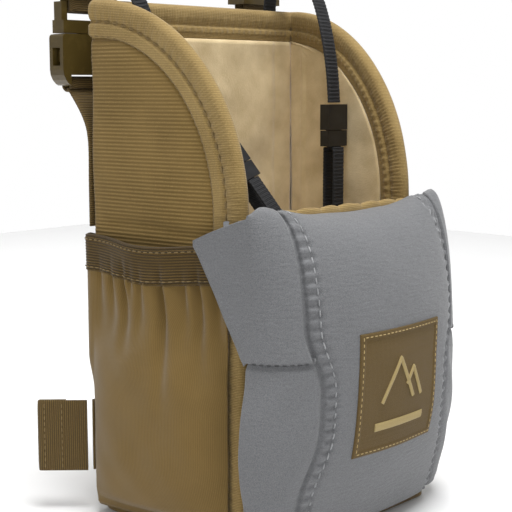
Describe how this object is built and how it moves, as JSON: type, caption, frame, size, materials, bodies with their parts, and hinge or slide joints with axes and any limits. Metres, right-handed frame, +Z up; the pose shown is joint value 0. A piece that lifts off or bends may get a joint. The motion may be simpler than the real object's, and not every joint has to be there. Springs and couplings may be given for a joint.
{
  "type": "binocular harness pack",
  "caption": "Open-topped chest pack with tall side wings, stretch side pockets, a padded tipping front cover with magnetic ears, shoulder buckles and tethers.",
  "frame": {"origin": "on the underside of the bottom panel, midway between the wings", "axes": "+Z up, front cover faces -Y, back panel faces +Y, +X is the right-hand side seen from the front"},
  "size_m": [0.1972, 0.1668, 0.3084],
  "materials": {
    "ribbed_fabric": "ribbed stretch weave",
    "rim_binding": "padded band",
    "stretch_fabric": "smooth stretch weave",
    "elastic_band": "woven elastic",
    "brushed_lining": "brushed",
    "grey_softshell": "soft brushed",
    "foam": "closed-cell foam",
    "spacer_mesh": "spacer mesh",
    "tan_webbing": "ribbed webbing",
    "black_webbing": "ribbed webbing",
    "woven_label": "woven",
    "tan_plastic": "moulded",
    "black_plastic": "moulded",
    "stiffener_board": "smooth",
    "magnet": "plated"
  },
  "bodies": {
    "pack": {"back_lining": "brushed_lining", "back_pad": "spacer_mesh", "back_panel": "ribbed_fabric", "back_stiffener": "stiffener_board", "bottom_pad": "brushed_lining", "bottom_panel": "stretch_fabric", "buckle_socket_left": "tan_plastic", "buckle_socket_right": "tan_plastic", "cover_hinge_tape": "grey_softshell", "front_wall": "stretch_fabric", "front_wall_elastic": "rim_binding", "pocket_elastic_left": "elastic_band", "pocket_elastic_right": "elastic_band", "rim_band_back": "rim_binding", "rim_band_left": "rim_binding", "rim_band_right": "rim_binding", "shoulder_anchor_left": "tan_webbing", "shoulder_anchor_right": "tan_webbing", "side_pocket_left": "stretch_fabric", "side_pocket_right": "stretch_fabric", "side_webbing_left": "tan_webbing", "side_webbing_right": "tan_webbing", "tether_left": "black_webbing", "tether_park_bar": "black_plastic", "tether_right": "black_webbing", "tether_socket_left": "black_plastic", "tether_socket_right": "black_plastic", "wing_left": "ribbed_fabric", "wing_lining_left": "brushed_lining", "wing_lining_right": "brushed_lining", "wing_magnet_left": "magnet", "wing_magnet_right": "magnet", "wing_right": "ribbed_fabric"},
    "cover": {"cover_shell": "grey_softshell", "cover_foam": "foam", "cover_bolster": "grey_softshell", "label_patch": "woven_label"},
    "ear_right": {"ear_right": "grey_softshell", "ear_magnet_right": "magnet"},
    "shoulder_strap_right": {"buckle_plug_right": "tan_plastic", "shoulder_strap_right": "tan_webbing", "strap_keeper_right": "tan_plastic"},
    "prong_outer_right": {"buckle_prong_outer_right": "tan_plastic"},
    "prong_inner_right": {"buckle_prong_inner_right": "tan_plastic"},
    "side_tab_right": {"side_tab_right": "tan_webbing"},
    "clip_right": {"tether_plug_right": "black_plastic", "lug_loop_right": "black_webbing"},
    "ear_left": {"ear_left": "grey_softshell", "ear_magnet_left": "magnet"},
    "shoulder_strap_left": {"buckle_plug_left": "tan_plastic", "shoulder_strap_left": "tan_webbing", "strap_keeper_left": "tan_plastic"},
    "prong_outer_left": {"buckle_prong_outer_left": "tan_plastic"},
    "prong_inner_left": {"buckle_prong_inner_left": "tan_plastic"},
    "side_tab_left": {"side_tab_left": "tan_webbing"},
    "clip_left": {"tether_plug_left": "black_plastic", "lug_loop_left": "black_webbing"}
  },
  "joints": [
    {"name": "cover_tip", "type": "hinge", "parent": "pack", "child": "cover", "pos_m": [0, -0.06, 0.006], "axis": [1, 0, 0], "range_deg": [0, 60]},
    {"name": "ear_right_fold", "type": "hinge", "parent": "cover", "child": "ear_right", "pos_m": [0.0734, -0.0498, 0.13], "axis": [0, 0, -1], "range_deg": [0, 70]},
    {"name": "buckle_right_slide", "type": "slide", "parent": "pack", "child": "shoulder_strap_right", "axis": [0, 0, 1], "range_m": [0, 0.025]},
    {"name": "prong_outer_right_squeeze", "type": "hinge", "parent": "shoulder_strap_right", "child": "prong_outer_right", "pos_m": [0.0748, 0.075, 0.2474], "axis": [0, 1, 0], "range_deg": [0, 8], "stiffness_Nm_per_rad": 0.02},
    {"name": "prong_inner_right_squeeze", "type": "hinge", "parent": "shoulder_strap_right", "child": "prong_inner_right", "pos_m": [0.0542, 0.075, 0.2474], "axis": [0, -1, 0], "range_deg": [0, 8], "stiffness_Nm_per_rad": 0.02},
    {"name": "side_tab_right_flex", "type": "hinge", "parent": "pack", "child": "side_tab_right", "pos_m": [0.079, 0.0595, 0.04], "axis": [0, 0, 1], "range_deg": [-35, 40], "stiffness_Nm_per_rad": 0.002},
    {"name": "clip_right_release", "type": "slide", "parent": "pack", "child": "clip_right", "axis": [0, 0, -1], "range_m": [0, 0.01]},
    {"name": "ear_left_fold", "type": "hinge", "parent": "cover", "child": "ear_left", "pos_m": [-0.0734, -0.0498, 0.13], "axis": [0, 0, 1], "range_deg": [0, 70]},
    {"name": "buckle_left_slide", "type": "slide", "parent": "pack", "child": "shoulder_strap_left", "axis": [0, 0, 1], "range_m": [0, 0.025]},
    {"name": "prong_outer_left_squeeze", "type": "hinge", "parent": "shoulder_strap_left", "child": "prong_outer_left", "pos_m": [-0.0748, 0.075, 0.2474], "axis": [0, -1, 0], "range_deg": [0, 8], "stiffness_Nm_per_rad": 0.02},
    {"name": "prong_inner_left_squeeze", "type": "hinge", "parent": "shoulder_strap_left", "child": "prong_inner_left", "pos_m": [-0.0542, 0.075, 0.2474], "axis": [0, 1, 0], "range_deg": [0, 8], "stiffness_Nm_per_rad": 0.02},
    {"name": "side_tab_left_flex", "type": "hinge", "parent": "pack", "child": "side_tab_left", "pos_m": [-0.079, 0.0595, 0.04], "axis": [0, 0, -1], "range_deg": [-35, 40], "stiffness_Nm_per_rad": 0.002},
    {"name": "clip_left_release", "type": "slide", "parent": "pack", "child": "clip_left", "axis": [0.2686, -0.518, -0.8121], "range_m": [0, 0.01]}
  ]
}
